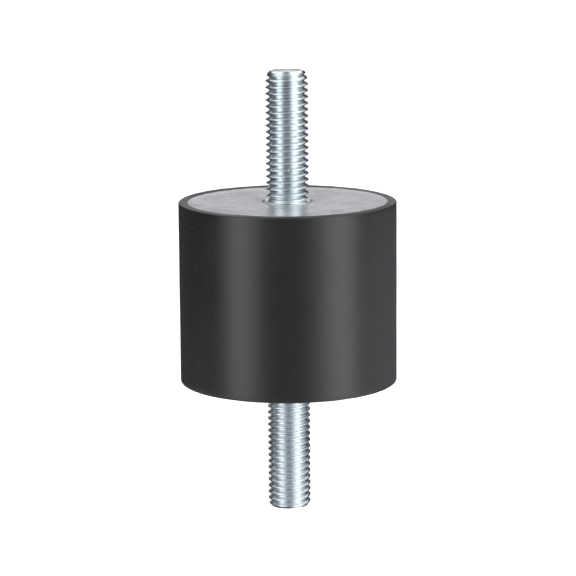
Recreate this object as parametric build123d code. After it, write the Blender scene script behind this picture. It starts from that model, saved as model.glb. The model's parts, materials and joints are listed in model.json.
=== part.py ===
from build123d import *
import os

# Cylindrical rubber buffer with a threaded stud at each end, in millimetres.
# +Z runs up the axis. The origin is the centre of the lower seat, where the part is bolted down.

# Rubber body
BODY_D = 60.0
BODY_H = 50.0
BODY_EDGE = 0.6

# Steel plates, bonded flush into both ends, with a lip of rubber round each
LIP = 2.4
PLATE_T = 3.0
PLATE_EDGE = 0.35

# Thread of an M12 stud, drawn as a plain shaft of the thread's outside diameter
THREAD_D = 11.84
STUD_REACH = 36.0

# Tip of the thread, a slow taper that ends in a chamfer
TAPER_LENGTH = 1.7
TIP_TAPER = 0.5
TIP_CHAMFER = 0.6

# Plain neck below the thread, which stands proud of it because it is rolled
THREAD_RISE = 0.5
NECK_LENGTH = 1.6

# Shoulder of the stud, wider than the thread so that the stud can be pressed in from inside
SHOULDER_STEP = 0.44
SHOULDER_SINK = 0.05
SHOULDER_EDGE = 0.2

# Countersink in the plate, an open groove round the shoulder
COUNTERSINK_WIDTH = 0.84
COUNTERSINK_DEPTH = 0.6

# Head of the stud, behind the plate and inside the rubber
HEAD_D = 22.0
HEAD_T = 3.5
HEAD_EDGE = 0.6

BODY_R = BODY_D / 2
PLATE_R = BODY_R - LIP
THREAD_R = THREAD_D / 2
SHOULDER_R = THREAD_R + SHOULDER_STEP


def ends():
    """Places of the upper end and the lower end, which is the upper one turned over."""
    return Pos(0, 0, BODY_H), Rot(X=180)


def disc(radius, top, thickness):
    """Disc on the axis that hangs down from the height top."""
    return Pos(0, 0, top - thickness / 2) * Cylinder(radius, thickness)


def stud_head():
    """Head of a stud, under a plate whose outer face is at height 0."""
    head = disc(HEAD_D / 2, -PLATE_T, HEAD_T)
    return chamfer(head.edges().group_by(Axis.Z)[0], HEAD_EDGE)


def stud():
    """Headed stud that points up out of a plate whose outer face is at height 0."""
    neck_r = THREAD_R - THREAD_RISE
    tip_r = THREAD_R - TIP_TAPER
    taper_top = STUD_REACH - TIP_CHAMFER
    outline = [
        (0, -PLATE_T),
        (SHOULDER_R, -PLATE_T),
        (SHOULDER_R, -SHOULDER_SINK - SHOULDER_EDGE),
        (SHOULDER_R - SHOULDER_EDGE, -SHOULDER_SINK),
        (neck_r, -SHOULDER_SINK),
        (neck_r, NECK_LENGTH),
        (THREAD_R, NECK_LENGTH + THREAD_RISE),
        (THREAD_R, taper_top - TAPER_LENGTH),
        (tip_r, taper_top),
        (tip_r - TIP_CHAMFER, STUD_REACH),
        (0, STUD_REACH),
    ]
    half_section = make_face(Polyline(*outline, close=True))
    return stud_head() + revolve(Plane.XZ * half_section, Axis.Z)


def plate():
    """Punched disc with a countersunk hole for the stud, outer face at height 0."""
    blank = disc(PLATE_R, 0, PLATE_T)
    blank = chamfer(blank.edges().group_by(Axis.Z)[-1], PLATE_EDGE)
    hole = disc(SHOULDER_R, 0, PLATE_T)
    countersink = Cone(SHOULDER_R, SHOULDER_R + COUNTERSINK_WIDTH, COUNTERSINK_DEPTH)
    return blank - hole - Pos(0, 0, -COUNTERSINK_DEPTH / 2) * countersink


def rubber_body():
    """Moulded cylinder with a recess in each end for the plate and the stud's head behind it."""
    body = disc(BODY_R, BODY_H, BODY_H)
    body = chamfer(body.edges().filter_by(GeomType.CIRCLE), BODY_EDGE)
    for place in ends():
        body -= place * disc(PLATE_R, 0, PLATE_T)
        body -= place * stud_head()
    return body


def main():
    os.makedirs("parts", exist_ok=True)
    upper, lower = ends()
    pieces = {
        "rubber_body": rubber_body(),
        "upper_plate": upper * plate(),
        "lower_plate": lower * plate(),
        "upper_stud": upper * stud(),
        "lower_stud": lower * stud(),
    }
    for name, piece in pieces.items():
        export_step(piece, f"parts/{name}.step")


main()
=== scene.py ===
import json
import math
import random

import bmesh
import bpy
from mathutils import Matrix, Vector, noise

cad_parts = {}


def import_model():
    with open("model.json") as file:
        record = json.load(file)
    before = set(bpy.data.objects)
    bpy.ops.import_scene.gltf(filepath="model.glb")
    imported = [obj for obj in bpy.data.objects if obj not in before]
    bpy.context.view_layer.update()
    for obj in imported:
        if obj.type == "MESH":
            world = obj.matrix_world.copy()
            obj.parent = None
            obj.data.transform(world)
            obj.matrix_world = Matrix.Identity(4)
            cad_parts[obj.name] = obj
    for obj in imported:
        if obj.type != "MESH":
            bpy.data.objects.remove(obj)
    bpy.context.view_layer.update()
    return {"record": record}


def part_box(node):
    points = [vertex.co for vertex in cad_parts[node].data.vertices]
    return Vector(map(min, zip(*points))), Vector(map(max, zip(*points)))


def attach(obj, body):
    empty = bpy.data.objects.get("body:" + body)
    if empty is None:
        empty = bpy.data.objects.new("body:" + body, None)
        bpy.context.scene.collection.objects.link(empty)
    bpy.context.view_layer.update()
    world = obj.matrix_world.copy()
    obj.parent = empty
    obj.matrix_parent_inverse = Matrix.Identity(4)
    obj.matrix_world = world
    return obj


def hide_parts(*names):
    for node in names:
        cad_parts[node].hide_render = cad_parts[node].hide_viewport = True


MM = 0.001

# Thread, M12 x 1.75, right-hand
PITCH = 1.75 * MM
FLANK = math.radians(30)
ROOT_ROUND = 0.16 * MM

# What differs from stud to stud: where the thread starts, how round its crests are and how the
# tip is cut
ENDS = {
    "upper": {
        "start": 0.84 * MM,
        "crest_round": 0.20 * MM,
        "lead_drop": 0.87 * MM,
        "chamfer": 1.12 * MM,
        "seed": 5,
    },
    "lower": {
        "start": 1.44 * MM,
        "crest_round": 0.35 * MM,
        "lead_drop": 0.40 * MM,
        "chamfer": 0.85 * MM,
        "seed": 11,
    },
}

# Plain neck between shoulder and thread, and the stretch over which the thread grows out of it
NECK_DEPTH = 0.50 * MM
NECK_TOP = 0.35 * MM
GROWTH_START = NECK_TOP - 0.35 * PITCH
GROWTH_END = NECK_TOP + 0.85 * PITCH

# Tip of the stud: a slow taper, a chamfer with a ragged edge, and a shallow dish in the end face
LEAD_SLOPE = 0.30
LEAD_ROUND = 0.05 * MM
CHAMFER_ROUND = 0.06 * MM
RAGGED = 0.05 * MM
RAGGED_SCALE = 5.0
FACE_INSET = 0.02 * MM
DISH_RIM_R = 4.1 * MM
DISH_FLOOR_R = 3.1 * MM
DISH_FLOOR_DEPTH = 0.13 * MM
DISH_DEPTH = 0.18 * MM
DISH_ROUND = 0.6 * MM

# Wear of the crests, and the nicks that the thread got in the bin
WEAR = 0.02 * MM
WEAR_HEIGHT = 5 * MM
WEAR_SCALE = 2.0
WEAR_ROUND = 0.02 * MM
NICK_COUNT = 26
NICK_LOWEST = 4 * MM
NICK_DEPTHS_IN_MM = (0.05, 0.16)
NICK_HALF_WIDTHS = (0.05, 0.11)
NICK_HALF_HEIGHT = 0.7 * MM

# Shoulder and head of the stud, and the countersink in the plate
SHOULDER_STEP = 0.44 * MM
SHOULDER_SINK = 0.05 * MM
SHOULDER_ROUND = 0.35 * MM
HEAD_EDGE = 0.5 * MM
COUNTERSINK_WIDTH = 0.84 * MM
COUNTERSINK_DEPTH = 0.6 * MM
COUNTERSINK_EDGE = 0.14 * MM
PLATE_EDGE = 0.25 * MM

# Shares of the plate's thickness and radius at which an extra ring of points keeps the shading even
RIM_RING = 0.5
FACE_RING = 0.8

# Lip of the rubber, a little proud of the plate on one side and a little below it on the other
LIP_RISE = 0.03 * MM
LIP_SWAY = 0.11 * MM
LIP_HIGH_SIDE = math.radians(-75)
LIP_WAVES = 0.05 * MM
LIP_WAVES_SCALE = 4.0
LIP_HEIGHT = 2 * MM
LIP_INNER_EDGE = 0.12 * MM
LIP_OUTER_EDGE = 0.4 * MM

# Side of the rubber, which is not quite true, except where it meets a plate
SWELL = 0.03 * MM
SWELL_HEIGHT = 24 * MM
SWELL_SCALE = 2.2
SWELL_CLEARANCE = 0.05 * MM
SIDE_START = 6.0 * MM

# Fineness of the meshes. The thread's rows are those of half a pitch, in pitches from the crest's
# line, closer together at the crest and the root.
SEGMENTS = 160
BODY_SEGMENTS = 360
THREAD_ROWS = [0.0, 0.03, 0.055, 0.08, 0.11, 0.16, 0.22, 0.28, 0.34, 0.38, 0.42, 0.46]
ROW_MARGIN = 0.2 * MM
TURNS_BELOW = 3
TURNS_ABOVE = 2
LONGEST_STRETCH = 1.8 * MM
MERGE = 0.0005 * MM
CRISP_ANGLE = math.radians(38)

# Range that a noise texture's factor seldom leaves
NOISE_LOW = 0.3
NOISE_HIGH = 0.7

# Rubber: tones, roughness, and the roughness that trimming left on the lip, which came off clean
# at two opposite sides
RUBBER_TONES = [(NOISE_LOW, (0.0130, 0.0130, 0.0135)), (NOISE_HIGH, (0.0160, 0.0160, 0.0166))]
RUBBER_ROUGH = (0.255, 0.28)
RUBBER_SPECULAR = 0.6
LIP_SMOOTH_SIDE = math.radians(205)
TRIMMED_REACH = (19 * MM, 25 * MM)
TRIMMED_ROUGH = (0.36, 0.12)

# Zinc on the plates, and the punch's rings in it
PLATE_TONES = [
    (0.32, (0.52, 0.53, 0.545)),
    (0.50, (0.66, 0.67, 0.685)),
    (0.68, (0.80, 0.81, 0.825)),
]
PLATE_METALLIC = 0.75
PLATE_ROUGH = (0.20, 0.28)
RING_SHARE = 0.10
RING_BREAKS = (-0.8, 1.2)

# Zinc on the studs, duller near the plates, and a little duller all along the lower stud
STUD_TONES = [(NOISE_LOW, (0.725, 0.800, 0.830)), (NOISE_HIGH, (0.795, 0.860, 0.895))]
STUD_ROUGH = (0.12, 0.18)
DULL_FROM = 0.8 * MM
DULL_TO = 2.2 * MM
DULL = 0.12
LOWER_DULL = 0.06
LOWER_BORDER = 0.5 * MM

# Camera, fitted to the photograph's 576 x 576 frame
CAMERA_DISTANCE = 0.728
CAMERA_ELEVATION = math.radians(10.6)
CAMERA_ROLL = math.radians(0.42)
LENS_MM = 164.6
SENSOR_MM = 36.0
AIM = Vector((-0.00003, 0.0, 0.0257))

# Soft boxes for diffuse light: azimuth and elevation in degrees, distance, size and power
LAMPS = {
    "left_box": (-41, -4, 1.0, (0.60, 0.9), 1.5),
    "right_box": (47, -4, 1.0, (0.60, 0.9), 1.5),
    "top_box": (0, 80, 1.2, (1.0, 1.0), 0.8),
}
LAMP_AIM = Vector((0, 0, 0.025))

# Studio that the object mirrors, in bands from the floor up. Each ring gives a band's brightness
# by azimuth in degrees, 0 at the camera's side and 90 at its right.
FLOOR_RING = [
    (-180, 0.05), (-110, 0.08), (-92, 0.18), (-76, 0.70), (-58, 1.70), (-42, 1.20), (-26, 0.40),
    (-10, 0.14), (10, 0.16), (26, 0.60), (42, 1.60), (58, 2.00), (76, 1.40), (96, 0.35),
    (118, 0.10), (180, 0.05),
]
STEEP_RING = [
    (-180, 0.05), (-115, 0.18), (-97, 0.20), (-84, 0.32), (-70, 0.75), (-50, 0.95), (-34, 0.85),
    (-16, 0.70), (0, 0.65), (16, 0.70), (30, 0.95), (50, 1.35), (72, 1.80), (86, 1.40),
    (100, 0.55), (118, 0.25), (180, 0.05),
]
LOWER_RING = [
    (-180, 0.05), (-150, 0.30), (-128, 0.70), (-110, 1.00), (-86, 1.05), (-64, 1.05), (-50, 1.25),
    (-34, 0.80), (-16, 0.30), (0, 0.25), (16, 0.36), (30, 1.00), (50, 1.45), (72, 1.55),
    (86, 1.10), (102, 0.95), (120, 0.45), (150, 0.20), (180, 0.05),
]
LEVEL_RING = [
    (-180, 0.04), (-150, 0.09), (-100, 0.03), (-82, 0.06), (-70, 0.72), (-58, 2.05), (-46, 1.95),
    (-36, 1.15), (-26, 0.40), (-14, 0.23), (12, 0.23), (22, 0.32), (33, 0.78), (46, 1.90),
    (58, 2.60), (69, 1.85), (80, 0.92), (92, 0.74), (106, 0.78), (120, 0.60), (145, 0.28),
    (180, 0.04),
]
EYE_RING = [
    (-180, 0.04), (-150, 0.08), (-125, 0.08), (-100, 0.03), (-82, 0.04), (-70, 0.45), (-58, 1.70),
    (-46, 2.15), (-36, 1.45), (-26, 0.38), (-14, 0.05), (12, 0.04), (22, 0.35), (33, 1.20),
    (46, 2.25), (58, 2.40), (69, 1.60), (80, 0.60), (92, 0.20), (120, 0.18), (145, 0.08),
    (180, 0.04),
]
BROW_RING = [
    (-180, 0.04), (-120, 0.10), (-97, 0.14), (-70, 0.90), (-50, 1.10), (-34, 1.10), (-18, 0.58),
    (0, 0.58), (18, 0.85), (32, 1.15), (50, 1.15), (80, 1.05), (110, 0.50), (140, 0.06),
    (180, 0.04),
]
UPPER_RING = [
    (-180, 1.00), (-170, 0.70), (-162, 0.08), (-115, 0.14), (-97, 0.30), (-84, 0.60), (-70, 1.00),
    (-50, 1.10), (-34, 1.10), (-18, 0.55), (0, 0.40), (18, 0.60), (32, 1.15), (50, 1.15),
    (80, 1.10), (100, 0.45), (120, 0.12), (162, 0.06), (170, 0.70), (180, 1.00),
]
HIGH_RING = [
    (-180, 1.90), (-130, 1.30), (-100, 1.00), (-70, 1.50), (-30, 1.00), (-12, 0.45), (12, 0.45),
    (30, 1.20), (60, 1.90), (100, 1.50), (180, 1.90),
]

# Red and green of the studio's darkest parts against its blue
DARK_RED = 0.87
DARK_GREEN = 0.89

# Heights of a direction, -1 straight down and 1 straight up, over which one band turns into the
# next
FLOOR_TO_STEEP = (-0.74, -0.68)
STEEP_TO_LOWER = (-0.40, -0.32)
LOWER_TO_LEVEL = (-0.28, -0.24)
LEVEL_TO_EYE = (-0.16, -0.13)
EYE_TO_BROW = (0.08, 0.16)
BROW_TO_UPPER = (0.24, 0.32)
UPPER_TO_HIGH = (0.50, 0.62)
HIGH_TO_TOP = (0.86, 0.93)

# Paper backdrop behind the object: its two brightnesses, the heights where it starts, darkens and
# ends, and how far back a direction points at its edge
BACKDROP_FOOT = 0.96
BACKDROP = 0.22
BACKDROP_START = (-0.02, 0.07)
BACKDROP_DARKENS = (0.118, 0.145)
BACKDROP_END = (0.24, 0.42)
BACKDROP_EDGE = (0.90, 0.97)

# Boxes overhead, with a gap between the left and the right one that closes towards the back
TOP_BOX = 1.9
TOP_LEFT = 1.2
TOP_GAP = 0.22
TOP_LEFT_TO_RIGHT = (-0.10, 0.20)
TOP_GAP_EDGE = (0.12, 0.26)
TOP_GAP_END = (0.20, 0.40)

# Floor, and how it looks to the camera
FLOOR_SIZE = 12.0
FLOOR_HEIGHT = -0.5
FLOOR_COLOUR = (0.8, 0.8, 0.8, 1)
FLOOR_ROUGH = 0.9
FLOOR_GLOW = (0.6, 0.6, 0.6, 1)


def smooth_min(a, b, k):
    """The smaller of a and b, with the corner between them rounded over k."""
    h = max(0.0, min(1.0, 0.5 + 0.5 * (b - a) / k))
    return b + (a - b) * h - k * h * (1 - h)


def smooth_step(x, low, high):
    """0 below low, 1 above high and a soft ramp between."""
    t = max(0.0, min(1.0, (x - low) / (high - low)))
    return t * t * (3 - 2 * t)


def rounded(corners, steps):
    """Points of an outline of (r, z, radius) corners, each turned into an arc of its radius."""
    points = []
    for i, (x, z, radius) in enumerate(corners):
        here = Vector((x, z))
        if radius == 0:
            points.append(here)
            continue
        before = (Vector(corners[i - 1][:2]) - here).normalized()
        after = (Vector(corners[i + 1][:2]) - here).normalized()
        half = before.angle(after) / 2
        back = radius / math.tan(half)
        centre = here + (before + after).normalized() * radius / math.sin(half)
        start = here + before * back - centre
        end = here + after * back - centre
        turn = start.angle_signed(end)
        for k in range(steps + 1):
            points.append(centre + Matrix.Rotation(-turn * k / steps, 2) @ start)
    return points


def subdivided(points, longest):
    """The outline with its long stretches cut into pieces no longer than longest."""
    out = [points[0]]
    for a, b in zip(points, points[1:]):
        pieces = max(1, math.ceil((b - a).length / longest))
        out += [a.lerp(b, k / pieces) for k in range(1, pieces + 1)]
    return out


def lathe(name, outline, closed=False, wobble=None):
    """Object turned about +Z from (r, z) points, which start and end on the axis unless closed."""
    bm = bmesh.new()
    rings = []
    for p in outline:
        if p[0] < MERGE:
            rings.append([bm.verts.new((0, 0, p[1]))])
            continue
        ring = []
        for i in range(BODY_SEGMENTS):
            angle = math.tau * i / BODY_SEGMENTS
            r, z = wobble(p[0], p[1], angle) if wobble else (p[0], p[1])
            ring.append(bm.verts.new((r * math.cos(angle), r * math.sin(angle), z)))
        rings.append(ring)
    pairs = list(zip(rings, rings[1:]))
    if closed:
        pairs.append((rings[-1], rings[0]))
    for a, b in pairs:
        for i in range(BODY_SEGMENTS):
            j = (i + 1) % BODY_SEGMENTS
            corners = [a[i % len(a)], a[j % len(a)], b[j % len(b)], b[i % len(b)]]
            corners = list(dict.fromkeys(corners))
            if len(corners) > 2:
                bm.faces.new(corners)
    return finished(name, bm)


def finished(name, bm):
    """Object of that mesh, with its normals outwards and its shading smooth up to crisp edges."""
    bmesh.ops.recalc_face_normals(bm, faces=bm.faces)
    mesh = bpy.data.meshes.new(name)
    bm.to_mesh(mesh)
    bm.free()
    mesh.shade_smooth()
    mesh.set_sharp_from_angle(angle=CRISP_ANGLE)
    piece = bpy.data.objects.new(name, mesh)
    bpy.context.scene.collection.objects.link(piece)
    return piece


def place(piece, top, turned):
    """Moves a piece that was made with its seat at height 0 to its end, in the mesh itself."""
    turn = Matrix.Rotation(math.pi, 4, "X") if turned else Matrix.Identity(4)
    piece.data.transform(Matrix.Translation((0, 0, top)) @ turn)


def thread_depth(off, crest_round):
    """Depth of the thread below its crest line, at a distance along the axis from that line."""
    slope = math.tan(FLANK)
    reach = math.cos(FLANK)
    if off < crest_round * reach:
        return crest_round - math.sqrt(crest_round ** 2 - off ** 2)
    shoulder = crest_round * (1 - math.sin(FLANK))
    flank_length = PITCH / 2 - (crest_round + ROOT_ROUND) * reach
    to_root = PITCH / 2 - off
    if to_root > ROOT_ROUND * reach:
        return shoulder + (off - crest_round * reach) / slope
    floor = shoulder + flank_length / slope + ROOT_ROUND * (1 - math.sin(FLANK))
    return floor - ROOT_ROUND + math.sqrt(ROOT_ROUND ** 2 - to_root ** 2)


def make_nicks(seed, tip):
    """Small dents in the thread, as (angle, height, depth, half width in radians)."""
    dice = random.Random(seed)
    nicks = []
    for _ in range(NICK_COUNT):
        angle = dice.uniform(0, math.tau)
        height = dice.uniform(NICK_LOWEST, tip)
        depth = dice.uniform(*NICK_DEPTHS_IN_MM) * MM
        nicks.append((angle, height, depth, dice.uniform(*NICK_HALF_WIDTHS)))
    return nicks


def nick_depth(angle, z, nicks):
    """Depth by which the crest is beaten down at an angle and height."""
    depth = 0.0
    for at, height, deep, half in nicks:
        aside = math.remainder(angle - at, math.tau) / half
        along = (z - height) / NICK_HALF_HEIGHT
        if abs(aside) < 1 and abs(along) < 1:
            depth = max(depth, deep * (1 - aside ** 2) * (1 - along ** 2))
    return depth


def thread_radius(angle, z, crest_r, end, nicks):
    """Radius of the rolled thread at an angle and height above the seat."""
    turns = (z - end["start"]) / PITCH - angle / math.tau
    spot = Vector((math.cos(angle), math.sin(angle), z / WEAR_HEIGHT))
    worn = crest_r - nick_depth(angle, z, nicks) + WEAR * noise.noise(spot * WEAR_SCALE)
    cut = crest_r - thread_depth(abs(turns - round(turns)) * PITCH, end["crest_round"])
    return smooth_min(cut, worn, WEAR_ROUND)


def shank_radius(angle, z, crest_r, tip, end, nicks):
    """Radius of the shank: plain neck, thread that grows out of it, and tapered, chamfered tip."""
    neck_r = crest_r - NECK_DEPTH
    grown = smooth_step(z, GROWTH_START, GROWTH_END)
    r = neck_r + (thread_radius(angle, z, crest_r, end, nicks) - neck_r) * grown
    lead = crest_r - end["lead_drop"] + LEAD_SLOPE * (tip - z)
    spot = Vector((math.cos(angle), math.sin(angle), end["seed"]))
    ragged = RAGGED * noise.noise(spot * RAGGED_SCALE)
    chamfer = crest_r - end["chamfer"] + (tip - z) + ragged
    return smooth_min(smooth_min(r, lead, LEAD_ROUND), chamfer, CHAMFER_ROUND)


def thread_rows(start, tip):
    """Heights of the mesh's rows at angle 0, from under the neck's top to over the tip."""
    steps = THREAD_ROWS + [0.5] + [1 - h for h in reversed(THREAD_ROWS[1:])]
    turns = range(-TURNS_BELOW, math.ceil(tip / PITCH) + TURNS_ABOVE)
    rows = [start + PITCH * turn + h * PITCH for turn in turns for h in steps]
    return [z for z in rows if NECK_TOP - PITCH - ROW_MARGIN < z < tip + ROW_MARGIN]


def stud(name, crest_r, head_foot, head_r, plate_t, tip, end):
    """Headed stud, pointing up, with the plate's outer face at height 0."""
    neck_r = crest_r - NECK_DEPTH
    shoulder_r = crest_r + SHOULDER_STEP
    foot = rounded([
        (0, head_foot, 0),
        (head_r, head_foot, HEAD_EDGE),
        (head_r, -plate_t, 0),
        (shoulder_r, -plate_t, 0),
        (shoulder_r, -SHOULDER_SINK, SHOULDER_ROUND),
        (neck_r, -SHOULDER_SINK, SHOULDER_ROUND),
        (neck_r, NECK_TOP, 0),
    ], steps=6)
    face = rounded([
        (crest_r - end["chamfer"] - FACE_INSET, tip, 0),
        (DISH_RIM_R, tip, DISH_ROUND),
        (DISH_FLOOR_R, tip - DISH_FLOOR_DEPTH, DISH_ROUND),
        (0, tip - DISH_DEPTH, 0),
    ], steps=3)
    nicks = make_nicks(end["seed"], tip)
    rows = thread_rows(end["start"], tip)
    bm = bmesh.new()
    columns = []
    for i in range(SEGMENTS + 1):
        angle = math.tau * i / SEGMENTS
        column = [(p[0], p[1]) for p in foot]
        for h in rows:
            z = max(NECK_TOP, min(tip, h + PITCH * i / SEGMENTS))
            column.append((shank_radius(angle, z, crest_r, tip, end, nicks), z))
        column += [(p[0], p[1]) for p in face[1:]]
        spin = Vector((math.cos(angle), math.sin(angle)))
        columns.append([bm.verts.new((spin.x * r, spin.y * r, z)) for r, z in column])
    for a, b in zip(columns, columns[1:]):
        for k in range(len(a) - 1):
            bm.faces.new((a[k], b[k], b[k + 1], a[k + 1]))
    bmesh.ops.remove_doubles(bm, verts=bm.verts, dist=MERGE)
    return finished(name, bm)


def plate(name, hole_r, radius, thickness):
    """Countersunk disc with rolled edges, outer face at height 0."""
    outline = rounded([
        (hole_r, -thickness, 0),
        (radius, -thickness, 0),
        (radius, -RIM_RING * thickness, 0),
        (radius, 0, PLATE_EDGE),
        (FACE_RING * radius, 0, 0),
        (hole_r + COUNTERSINK_WIDTH, 0, COUNTERSINK_EDGE),
        (hole_r, -COUNTERSINK_DEPTH, 0),
    ], steps=6)
    return lathe(name, outline, closed=True)


def rubber(name, radius, height, plate_r, plate_t, head_r, head_foot):
    """Rubber cylinder with a lip round each plate and the hollows that hold plates and heads."""
    end = [
        (0, head_foot, 0),
        (head_r, head_foot, HEAD_EDGE),
        (head_r, -plate_t, 0),
        (plate_r, -plate_t, 0),
        (plate_r, LIP_RISE, LIP_INNER_EDGE),
        (radius, LIP_RISE, LIP_OUTER_EDGE),
        (radius, -SIDE_START, 0),
    ]
    upper = [(r, z + height, edge) for r, z, edge in end]
    lower = [(r, -z, edge) for r, z, edge in reversed(end)]
    outline = rounded(upper + lower, steps=8)

    def wobble(r, z, angle):
        spot = Vector((math.cos(angle), math.sin(angle), z / SWELL_HEIGHT)) * SWELL_SCALE
        swell = 0.0 if r < plate_r + SWELL_CLEARANCE else SWELL * noise.noise(spot)
        below_seat = min(height - z, z)
        if below_seat < LIP_HEIGHT:
            waves = LIP_WAVES * noise.noise(spot * LIP_WAVES_SCALE)
            sway = LIP_SWAY * math.cos(angle - LIP_HIGH_SIDE) + waves
            share = smooth_step(LIP_HEIGHT - below_seat, 0.0, LIP_HEIGHT + LIP_RISE)
            z += math.copysign(share * sway, z - height / 2)
        return r + swell, z

    return lathe(name, subdivided(outline, LONGEST_STRETCH), wobble=wobble)


def new_material(name):
    """Material with nodes, its node tree and its Principled shader."""
    material = bpy.data.materials.new(name)
    material.use_nodes = True
    return material, material.node_tree, material.node_tree.nodes["Principled BSDF"]


def object_coords(tree):
    """Coordinates in the object's own space."""
    return tree.nodes.new("ShaderNodeTexCoord").outputs["Object"]


def split_xyz(tree, vector):
    """The X, Y and Z of a vector, by name."""
    node = tree.nodes.new("ShaderNodeSeparateXYZ")
    tree.links.new(vector, node.inputs["Vector"])
    return node.outputs


def math_node(tree, operation, *values):
    """Result of a math node over links or numbers."""
    node = tree.nodes.new("ShaderNodeMath")
    node.operation = operation
    for socket, value in zip(node.inputs, values):
        if isinstance(value, (int, float)):
            socket.default_value = value
        else:
            tree.links.new(value, socket)
    return node.outputs[0]


def add_noise(tree, scale, detail=4.0, rough=0.55, stretch=(1, 1, 1)):
    """Noise texture in object space, stretched, and its factor."""
    mapping = tree.nodes.new("ShaderNodeMapping")
    mapping.inputs["Scale"].default_value = stretch
    texture = tree.nodes.new("ShaderNodeTexNoise")
    texture.inputs["Scale"].default_value = scale
    texture.inputs["Detail"].default_value = detail
    texture.inputs["Roughness"].default_value = rough
    tree.links.new(object_coords(tree), mapping.inputs["Vector"])
    tree.links.new(mapping.outputs["Vector"], texture.inputs["Vector"])
    return texture.outputs["Fac"]


def ramp(tree, factor, stops, interpolation="LINEAR"):
    """Colour ramp over a factor, with stops of (position, colour)."""
    node = tree.nodes.new("ShaderNodeValToRGB")
    node.color_ramp.interpolation = interpolation
    elements = node.color_ramp.elements
    while len(elements) < len(stops):
        elements.new(0.5)
    for element, (position, colour) in zip(elements, stops):
        element.position = position
        element.color = (*colour, 1)
    tree.links.new(factor, node.inputs["Fac"])
    return node.outputs["Color"]


def map_range(tree, value, low, high, start, end, interpolation):
    """Value from low to high mapped to a number from start to end."""
    node = tree.nodes.new("ShaderNodeMapRange")
    node.interpolation_type = interpolation
    node.inputs["From Min"].default_value = low
    node.inputs["From Max"].default_value = high
    node.inputs["To Min"].default_value = start
    node.inputs["To Max"].default_value = end
    tree.links.new(value, node.inputs["Value"])
    return node.outputs["Result"]


def remap(tree, factor, start, end):
    """Factor of a noise texture mapped to a number between start and end."""
    return map_range(tree, factor, NOISE_LOW, NOISE_HIGH, start, end, "LINEAR")


def soft_step(tree, value, low, high, start, end):
    """Number start where the value is under low, end over high, and a soft ramp between."""
    return map_range(tree, value, low, high, start, end, "SMOOTHSTEP")


def soft_blend(tree, value, low, high, a, b):
    """Colour a where the value is under low, b over high, and a soft blend between."""
    blend = tree.nodes.new("ShaderNodeMix")
    blend.data_type = "RGBA"
    tree.links.new(soft_step(tree, value, low, high, 0.0, 1.0), blend.inputs["Factor"])
    for name, colour in (("A", a), ("B", b)):
        if isinstance(colour, tuple):
            blend.inputs[name].default_value = (*colour, 1)
        else:
            tree.links.new(colour, blend.inputs[name])
    return blend.outputs["Result"]


def bump(tree, shader, height, distance, strength, below=None):
    """Bump on the shader, over an earlier one if given."""
    node = tree.nodes.new("ShaderNodeBump")
    node.inputs["Distance"].default_value = distance
    node.inputs["Strength"].default_value = strength
    tree.links.new(height, node.inputs["Height"])
    if below:
        tree.links.new(below, node.inputs["Normal"])
    tree.links.new(node.outputs["Normal"], shader.inputs["Normal"])
    return node.outputs["Normal"]


def rubber_material():
    """Satin black moulded rubber with a faint grain, rougher where its lip was trimmed."""
    material, tree, shader = new_material("moulded_rubber")
    tone = ramp(tree, add_noise(tree, scale=90), RUBBER_TONES)
    tree.links.new(tone, shader.inputs["Base Color"])
    geometry = tree.nodes.new("ShaderNodeNewGeometry")
    on_lip = math_node(tree, "ABSOLUTE", split_xyz(tree, geometry.outputs["Normal"])["Z"])
    trimmed = math_node(tree, "MULTIPLY", on_lip, trimming(tree))
    satin = remap(tree, add_noise(tree, scale=350), *RUBBER_ROUGH)
    tree.links.new(math_node(tree, "ADD", satin, trimmed), shader.inputs["Roughness"])
    shader.inputs["Specular IOR Level"].default_value = RUBBER_SPECULAR
    waves = add_noise(tree, scale=120, detail=2.0)
    below = bump(tree, shader, waves, distance=0.05 * MM, strength=0.08)
    grain = add_noise(tree, scale=3000, detail=3.0)
    bump(tree, shader, grain, distance=0.01 * MM, strength=0.15, below=below)
    return material


def trimming(tree):
    """Roughness that trimming left on the lip, by how far a point lies towards the clean sides."""
    reach = tree.nodes.new("ShaderNodeVectorMath")
    reach.operation = "DOT_PRODUCT"
    reach.inputs[1].default_value = (math.cos(LIP_SMOOTH_SIDE), math.sin(LIP_SMOOTH_SIDE), 0)
    tree.links.new(object_coords(tree), reach.inputs[0])
    distance = math_node(tree, "ABSOLUTE", reach.outputs["Value"])
    return soft_step(tree, distance, *TRIMMED_REACH, *TRIMMED_ROUGH)


def plate_material():
    """Zinc-plated sheet steel, blotched and faintly streaked."""
    material, tree, shader = new_material("zinc_sheet")
    shader.inputs["Metallic"].default_value = PLATE_METALLIC
    rings = turned_rings(tree)
    cloud = add_noise(tree, scale=170, detail=7.0, rough=0.68)
    blotch = math_node(tree, "MULTIPLY_ADD", rings, RING_SHARE, cloud)
    tree.links.new(ramp(tree, blotch, PLATE_TONES), shader.inputs["Base Color"])
    streak = add_noise(tree, scale=500, detail=3.0, stretch=(0.5, 1.0, 1.0))
    tree.links.new(remap(tree, streak, *PLATE_ROUGH), shader.inputs["Roughness"])
    below = bump(tree, shader, streak, distance=0.003 * MM, strength=0.4)
    below = bump(tree, shader, rings, distance=0.010 * MM, strength=0.5, below=below)
    grain = add_noise(tree, scale=1400)
    bump(tree, shader, grain, distance=0.006 * MM, strength=0.4, below=below)
    return material


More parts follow.
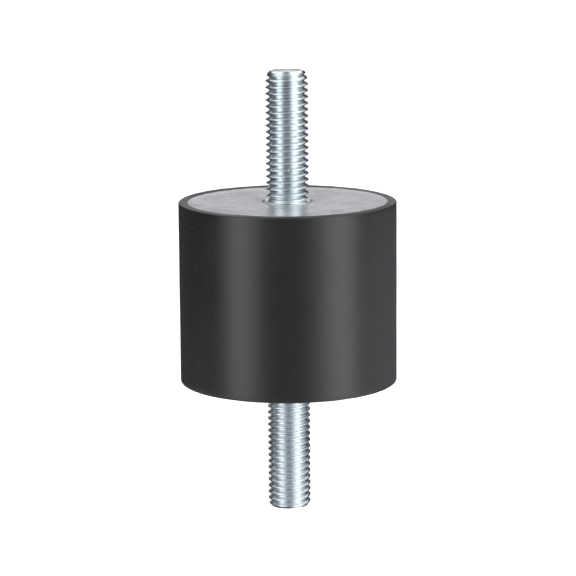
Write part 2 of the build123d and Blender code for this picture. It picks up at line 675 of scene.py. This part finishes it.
def turned_rings(tree):
    """Faint broken rings about the hole, left by the punch, as a height."""
    rings = tree.nodes.new("ShaderNodeTexWave")
    rings.wave_type = "RINGS"
    rings.rings_direction = "Z"
    rings.inputs["Scale"].default_value = 240
    rings.inputs["Distortion"].default_value = 2.0
    rings.inputs["Detail"].default_value = 2.0
    tree.links.new(object_coords(tree), rings.inputs["Vector"])
    broken = remap(tree, add_noise(tree, scale=60, detail=3.0), *RING_BREAKS)
    share = math_node(tree, "MAXIMUM", broken, 0.0)
    return math_node(tree, "MULTIPLY", rings.outputs["Fac"], share)


def stud_material(height):
    """Bright zinc on a thread, faintly blue, duller near the plates at 0 and at height."""
    material, tree, shader = new_material("zinc_thread")
    shader.inputs["Metallic"].default_value = 1.0
    tone = ramp(tree, add_noise(tree, scale=400), STUD_TONES)
    tree.links.new(tone, shader.inputs["Base Color"])
    up = split_xyz(tree, object_coords(tree))["Z"]
    from_middle = math_node(tree, "ABSOLUTE", math_node(tree, "SUBTRACT", up, height / 2))
    near, far = height / 2 + DULL_FROM, height / 2 + DULL_TO
    dulled = soft_step(tree, from_middle, near, far, DULL, 0.0)
    satin = soft_step(tree, up, -LOWER_BORDER, LOWER_BORDER, LOWER_DULL, 0.0)
    polish = remap(tree, add_noise(tree, scale=900), *STUD_ROUGH)
    rough = math_node(tree, "ADD", math_node(tree, "ADD", polish, dulled), satin)
    tree.links.new(rough, shader.inputs["Roughness"])
    grain = add_noise(tree, scale=2500, detail=3.0)
    bump(tree, shader, grain, distance=0.005 * MM, strength=0.2)
    return material


def dress(piece, material, slot, *nodes):
    """Gives a piece its material and puts it in the frame in place of its node."""
    piece.data.materials.append(material)
    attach(piece, "root")
    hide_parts(*nodes)


def make_object(record):
    """The five pieces, sized from the boxes of the nodes that they stand for and a stud's mount."""
    body_low, body_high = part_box("rubber_body")
    plate_low, plate_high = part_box("upper_plate")
    stud_low, stud_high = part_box("upper_stud")
    height = body_high[2] - body_low[2]
    radius = (body_high[0] - body_low[0]) / 2
    plate_r = (plate_high[0] - plate_low[0]) / 2
    plate_t = plate_high[2] - plate_low[2]
    head_r = (stud_high[0] - stud_low[0]) / 2
    head_foot = stud_low[2] - height
    tip = stud_high[2] - height
    mounts = {mount["name"]: mount for mount in record["mounts"]}
    crest_r = mounts["upper_stud"]["dims"]["r_mm"] * MM

    rubber_mat = rubber_material()
    plate_mat = plate_material()
    stud_mat = stud_material(height)

    body = rubber("rubber", radius, height, plate_r, plate_t, head_r, head_foot)
    dress(body, rubber_mat, "rubber", "rubber_body")
    for name, end in ENDS.items():
        turned = name == "lower"
        top = 0.0 if turned else height
        disc = plate(f"{name}_plate_zinc", crest_r + SHOULDER_STEP, plate_r, plate_t)
        place(disc, top, turned)
        dress(disc, plate_mat, "zinc_plate", f"{name}_plate")
        bolt = stud(f"{name}_stud_thread", crest_r, head_foot, head_r, plate_t, tip, end)
        place(bolt, top, turned)
        dress(bolt, stud_mat, "zinc_stud", f"{name}_stud")


def looking_back(spot, direction):
    """Matrix of a camera or lamp at a spot, which lies in a direction from what it looks at."""
    turn = (-direction).to_track_quat("-Z", "Y").to_matrix().to_4x4()
    return Matrix.Translation(spot) @ turn


def make_camera():
    """Camera at the photograph's angle."""
    data = bpy.data.cameras.new("camera")
    data.lens = LENS_MM
    data.sensor_width = SENSOR_MM
    camera = bpy.data.objects.new("camera", data)
    bpy.context.scene.collection.objects.link(camera)
    away = Vector((0, -math.cos(CAMERA_ELEVATION), math.sin(CAMERA_ELEVATION)))
    roll = Matrix.Rotation(-CAMERA_ROLL, 4, "Z")
    camera.matrix_world = looking_back(AIM + away * CAMERA_DISTANCE, away) @ roll
    bpy.context.scene.camera = camera


def area_light(name, azimuth, elevation, distance, size, power):
    """Soft box that faces the object, placed by its angles, with azimuth 0 at the front."""
    data = bpy.data.lights.new(name, "AREA")
    data.shape = "RECTANGLE"
    data.size, data.size_y = size
    data.energy = power
    light = bpy.data.objects.new(name, data)
    light.visible_glossy = False
    bpy.context.scene.collection.objects.link(light)
    a, e = math.radians(azimuth), math.radians(elevation)
    towards = Vector((math.sin(a) * math.cos(e), -math.cos(a) * math.cos(e), math.sin(e)))
    light.matrix_world = looking_back(LAMP_AIM + towards * distance, towards)


def shade(level):
    """Colour of the studio at a brightness, a little blue where it is dark."""
    warm = min(1.0, level)
    red = DARK_RED + (1 - DARK_RED) * warm
    green = DARK_GREEN + (1 - DARK_GREEN) * warm
    return level * red, level * green, level


def make_world():
    """Plain studio: white to the camera, and tall soft boxes with dark between for reflections."""
    world = bpy.data.worlds.new("studio")
    bpy.context.scene.world = world
    world.use_nodes = True
    tree = world.node_tree
    tree.nodes.clear()
    out = tree.nodes.new("ShaderNodeOutputWorld")
    coords = tree.nodes.new("ShaderNodeTexCoord")
    axes = split_xyz(tree, coords.outputs["Generated"])
    right, back, up = axes["X"], axes["Y"], axes["Z"]

    turn = math_node(tree, "ARCTAN2", right, math_node(tree, "MULTIPLY", back, -1.0))
    share = math_node(tree, "MULTIPLY_ADD", turn, 1 / math.tau, 0.5)

    def ring(levels):
        return ramp(tree, share, [(a / 360 + 0.5, shade(level)) for a, level in levels], "EASE")

    upper = ring(UPPER_RING)
    level = soft_blend(tree, up, *LEVEL_TO_EYE, ring(LEVEL_RING), ring(EYE_RING))
    below = soft_blend(tree, up, *FLOOR_TO_STEEP, ring(FLOOR_RING), ring(STEEP_RING))
    below = soft_blend(tree, up, *STEEP_TO_LOWER, below, ring(LOWER_RING))
    level = soft_blend(tree, up, *LOWER_TO_LEVEL, below, level)
    above = soft_blend(tree, up, *EYE_TO_BROW, level, ring(BROW_RING))
    above = soft_blend(tree, up, *BROW_TO_UPPER, above, upper)

    paper = soft_blend(tree, up, *BACKDROP_DARKENS, shade(BACKDROP_FOOT), shade(BACKDROP))
    paper = soft_blend(tree, up, *BACKDROP_END, paper, upper)
    backdrop = soft_blend(tree, back, *BACKDROP_EDGE, above, paper)
    sides = soft_blend(tree, up, *BACKDROP_START, level, backdrop)

    aside = math_node(tree, "ABSOLUTE", right)
    top = soft_blend(tree, right, *TOP_LEFT_TO_RIGHT, shade(TOP_LEFT), shade(TOP_BOX))
    top = soft_blend(tree, aside, *TOP_GAP_EDGE, shade(TOP_GAP), top)
    top = soft_blend(tree, back, *TOP_GAP_END, top, shade(TOP_BOX))
    high = soft_blend(tree, up, *HIGH_TO_TOP, ring(HIGH_RING), top)
    studio = soft_blend(tree, up, *UPPER_TO_HIGH, sides, high)

    surroundings = tree.nodes.new("ShaderNodeBackground")
    tree.links.new(studio, surroundings.inputs["Color"])
    plain = tree.nodes.new("ShaderNodeBackground")
    plain.inputs["Color"].default_value = (1, 1, 1, 1)
    paths = tree.nodes.new("ShaderNodeLightPath")
    choose = tree.nodes.new("ShaderNodeMixShader")
    tree.links.new(paths.outputs["Is Camera Ray"], choose.inputs["Fac"])
    tree.links.new(surroundings.outputs[0], choose.inputs[1])
    tree.links.new(plain.outputs[0], choose.inputs[2])
    tree.links.new(choose.outputs[0], out.inputs["Surface"])


def make_floor():
    """Plain pale floor well below the buffer, which is held up by its stud."""
    bm = bmesh.new()
    bmesh.ops.create_grid(bm, x_segments=8, y_segments=8, size=FLOOR_SIZE)
    mesh = bpy.data.meshes.new("floor")
    bm.to_mesh(mesh)
    bm.free()
    floor = bpy.data.objects.new("floor", mesh)
    floor.location.z = FLOOR_HEIGHT
    bpy.context.scene.collection.objects.link(floor)
    material, tree, shader = new_material("pale_floor")
    shader.inputs["Base Color"].default_value = FLOOR_COLOUR
    shader.inputs["Roughness"].default_value = FLOOR_ROUGH
    paths = tree.nodes.new("ShaderNodeLightPath")
    tree.links.new(paths.outputs["Is Camera Ray"], shader.inputs["Emission Strength"])
    shader.inputs["Emission Color"].default_value = FLOOR_GLOW
    mesh.materials.append(material)
    floor.visible_glossy = False


def main():
    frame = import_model()
    make_object(frame["record"])
    make_camera()
    for name, settings in LAMPS.items():
        area_light(name, *settings)
    make_world()
    make_floor()
    bpy.context.scene.view_settings.view_transform = "Standard"


main()
